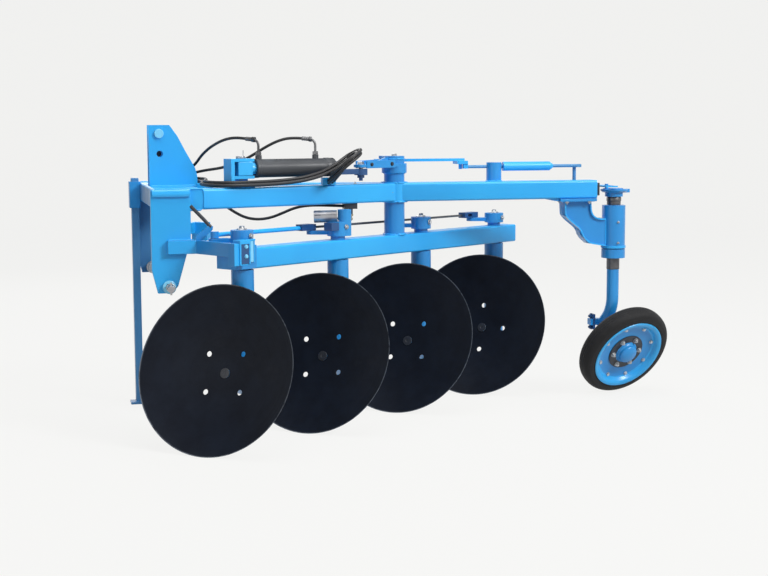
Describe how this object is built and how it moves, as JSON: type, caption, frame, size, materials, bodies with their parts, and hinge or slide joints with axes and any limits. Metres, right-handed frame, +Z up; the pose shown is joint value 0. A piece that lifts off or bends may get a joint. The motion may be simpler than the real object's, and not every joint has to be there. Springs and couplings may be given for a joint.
{
  "type": "reversible disc plough",
  "caption": "Mounted reversible disc plough: swinging beam of concave discs under a V frame, three-point hitch, tail wheel and parking leg.",
  "frame": {"origin": "On the ground, under the middle of the plough's box as parked.", "axes": "+X runs back from the tractor to the tail wheel, +Z up, -Y the side that the discs face."},
  "size_m": [2.4401, 1.5578, 1.229],
  "materials": {
    "blue_paint": "gloss",
    "dark_steel": "satin",
    "grey_paint": "satin",
    "bare_steel": "satin",
    "chromed_rod": "gloss",
    "tyre_rubber": "matte",
    "black_hose": "matte"
  },
  "bodies": {
    "frame": {"rear_beam": "blue_paint", "near_front_beam": "blue_paint", "far_front_beam": "blue_paint", "pivot_housing": "blue_paint", "cross_beam": "blue_paint", "mast_plates": "blue_paint", "top_pin": "bare_steel", "near_hitch_plate": "blue_paint", "far_hitch_plate": "blue_paint", "near_hitch_pin": "bare_steel", "far_hitch_pin": "bare_steel", "near_stop_arm": "blue_paint", "far_stop_arm": "blue_paint", "leg_sleeve": "blue_paint", "tail_bracket": "blue_paint", "beam_plug": "dark_steel", "cylinder_seat": "blue_paint", "cylinder_pin": "bare_steel", "guide_post": "blue_paint", "hose_front": "black_hose", "hose_rear": "black_hose", "hose_beam": "black_hose", "hose_twin": "black_hose", "hose_third": "black_hose", "hose_under": "black_hose", "fitting_elbows": "bare_steel", "fitting_blocks": "bare_steel"},
    "standard_1": {"standard_1": "blue_paint", "arm_1": "blue_paint"},
    "standard_2": {"standard_2": "blue_paint", "arm_2": "blue_paint", "lock_sleeve": "bare_steel"},
    "standard_3": {"standard_3": "blue_paint", "arm_3": "blue_paint"},
    "standard_4": {"standard_4": "blue_paint", "arm_4": "blue_paint"},
    "disc_body_1": {"disc_1": "dark_steel", "disc_hub_1": "blue_paint"},
    "disc_body_2": {"disc_2": "dark_steel", "disc_hub_2": "blue_paint"},
    "disc_body_3": {"disc_3": "dark_steel", "disc_hub_3": "blue_paint"},
    "disc_body_4": {"disc_4": "dark_steel", "disc_hub_4": "blue_paint"},
    "disc_beam": {"lower_beam": "blue_paint", "front_housing": "blue_paint", "pivot_post": "blue_paint", "swing_lever": "blue_paint", "top_crank": "blue_paint"},
    "tie_bar": {"tie_bar": "bare_steel"},
    "cylinder_barrel": {"cylinder_barrel": "grey_paint"},
    "cylinder_rod": {"cylinder_rod": "chromed_rod"},
    "push_rod": {"push_rod": "blue_paint"},
    "tail_crank": {"tail_crank": "blue_paint", "crank_lever": "blue_paint"},
    "tail_wheel": {"tail_tyre": "tyre_rubber", "tail_rim": "blue_paint", "tail_hub": "blue_paint"},
    "parking_leg": {"parking_leg": "blue_paint"}
  },
  "joints": [
    {"name": "beam_swing", "type": "hinge", "parent": "frame", "child": "disc_beam", "pos_m": [-0.08106, 0.10675, 0.86], "axis": [0, 0, -1], "range_deg": [0, 70.4]},
    {"name": "standard_1_turn", "type": "hinge", "parent": "disc_beam", "child": "standard_1", "pos_m": [-0.81649, -0.41204, 0.717], "axis": [0, 0, -1], "range_deg": [0, 35.05]},
    {"name": "standard_2_turn", "type": "hinge", "parent": "disc_beam", "child": "standard_2", "pos_m": [-0.37523, -0.10077, 0.717], "axis": [0, 0, -1], "range_deg": [0, 35.05]},
    {"name": "standard_3_turn", "type": "hinge", "parent": "disc_beam", "child": "standard_3", "pos_m": [0.06603, 0.21051, 0.717], "axis": [0, 0, -1], "range_deg": [0, 35.05]},
    {"name": "standard_4_turn", "type": "hinge", "parent": "disc_beam", "child": "standard_4", "pos_m": [0.50729, 0.52178, 0.717], "axis": [0, 0, -1], "range_deg": [0, 35.05]},
    {"name": "disc_1_spin", "type": "hinge", "parent": "standard_1", "child": "disc_body_1", "pos_m": [-0.95012, -0.56254, 0.31322], "axis": [-0.5752, -0.755, 0.3148], "continuous": true},
    {"name": "disc_2_spin", "type": "hinge", "parent": "standard_2", "child": "disc_body_2", "pos_m": [-0.50886, -0.25127, 0.31322], "axis": [-0.5752, -0.755, 0.3148], "continuous": true},
    {"name": "disc_3_spin", "type": "hinge", "parent": "standard_3", "child": "disc_body_3", "pos_m": [-0.0676, 0.06001, 0.31322], "axis": [-0.5752, -0.755, 0.3148], "continuous": true},
    {"name": "disc_4_spin", "type": "hinge", "parent": "standard_4", "child": "disc_body_4", "pos_m": [0.37365, 0.37128, 0.31322], "axis": [-0.5752, -0.755, 0.3148], "continuous": true},
    {"name": "tie_bar_turn", "type": "hinge", "parent": "standard_1", "child": "tie_bar", "pos_m": [-0.918, -0.38522, 0.8], "axis": [0, 0, -1], "range_deg": [-35.05, 0]},
    {"name": "cylinder_turn", "type": "hinge", "parent": "frame", "child": "cylinder_barrel", "pos_m": [-0.78606, -0.18525, 1.054], "axis": [0, 0, 1], "range_deg": [0, 20.57]},
    {"name": "cylinder_stroke", "type": "slide", "parent": "cylinder_barrel", "child": "cylinder_rod", "axis": [0.9531, 0.3026, 0], "range_m": [0, 0.11793]},
    {"name": "push_rod_travel", "type": "slide", "parent": "frame", "child": "push_rod", "axis": [1, 0, 0], "range_m": [0, 0.0808]},
    {"name": "tail_steer", "type": "hinge", "parent": "frame", "child": "tail_crank", "pos_m": [0.93494, 0.10675, 0.77], "axis": [0, 0, 1], "range_deg": [0, 151.45]},
    {"name": "tail_wheel_spin", "type": "hinge", "parent": "tail_crank", "child": "tail_wheel", "pos_m": [0.99994, 0.12475, 0.2062], "axis": [0.2152, -0.8503, -0.4802], "continuous": true},
    {"name": "leg_lift", "type": "slide", "parent": "frame", "child": "parking_leg", "axis": [0, 0, 1], "range_m": [0, 0.8501]}
  ],
  "couplings": [
    {"joint": "standard_1_turn", "follows": "beam_swing", "ratio": 0.49716},
    {"joint": "standard_2_turn", "follows": "beam_swing", "ratio": 0.49716},
    {"joint": "standard_3_turn", "follows": "beam_swing", "ratio": 0.49716},
    {"joint": "standard_4_turn", "follows": "beam_swing", "ratio": 0.49716},
    {"joint": "tie_bar_turn", "follows": "beam_swing", "ratio": -0.49716},
    {"joint": "cylinder_turn", "follows": "beam_swing", "ratio": 0.29183},
    {"joint": "cylinder_stroke", "follows": "beam_swing", "m_per_rad": 0.095894},
    {"joint": "push_rod_travel", "follows": "beam_swing", "m_per_rad": 0.065679},
    {"joint": "tail_steer", "follows": "beam_swing", "ratio": 2.1506},
    {"joint": "leg_lift", "follows": "beam_swing", "m_per_rad": 0.69178}
  ]
}
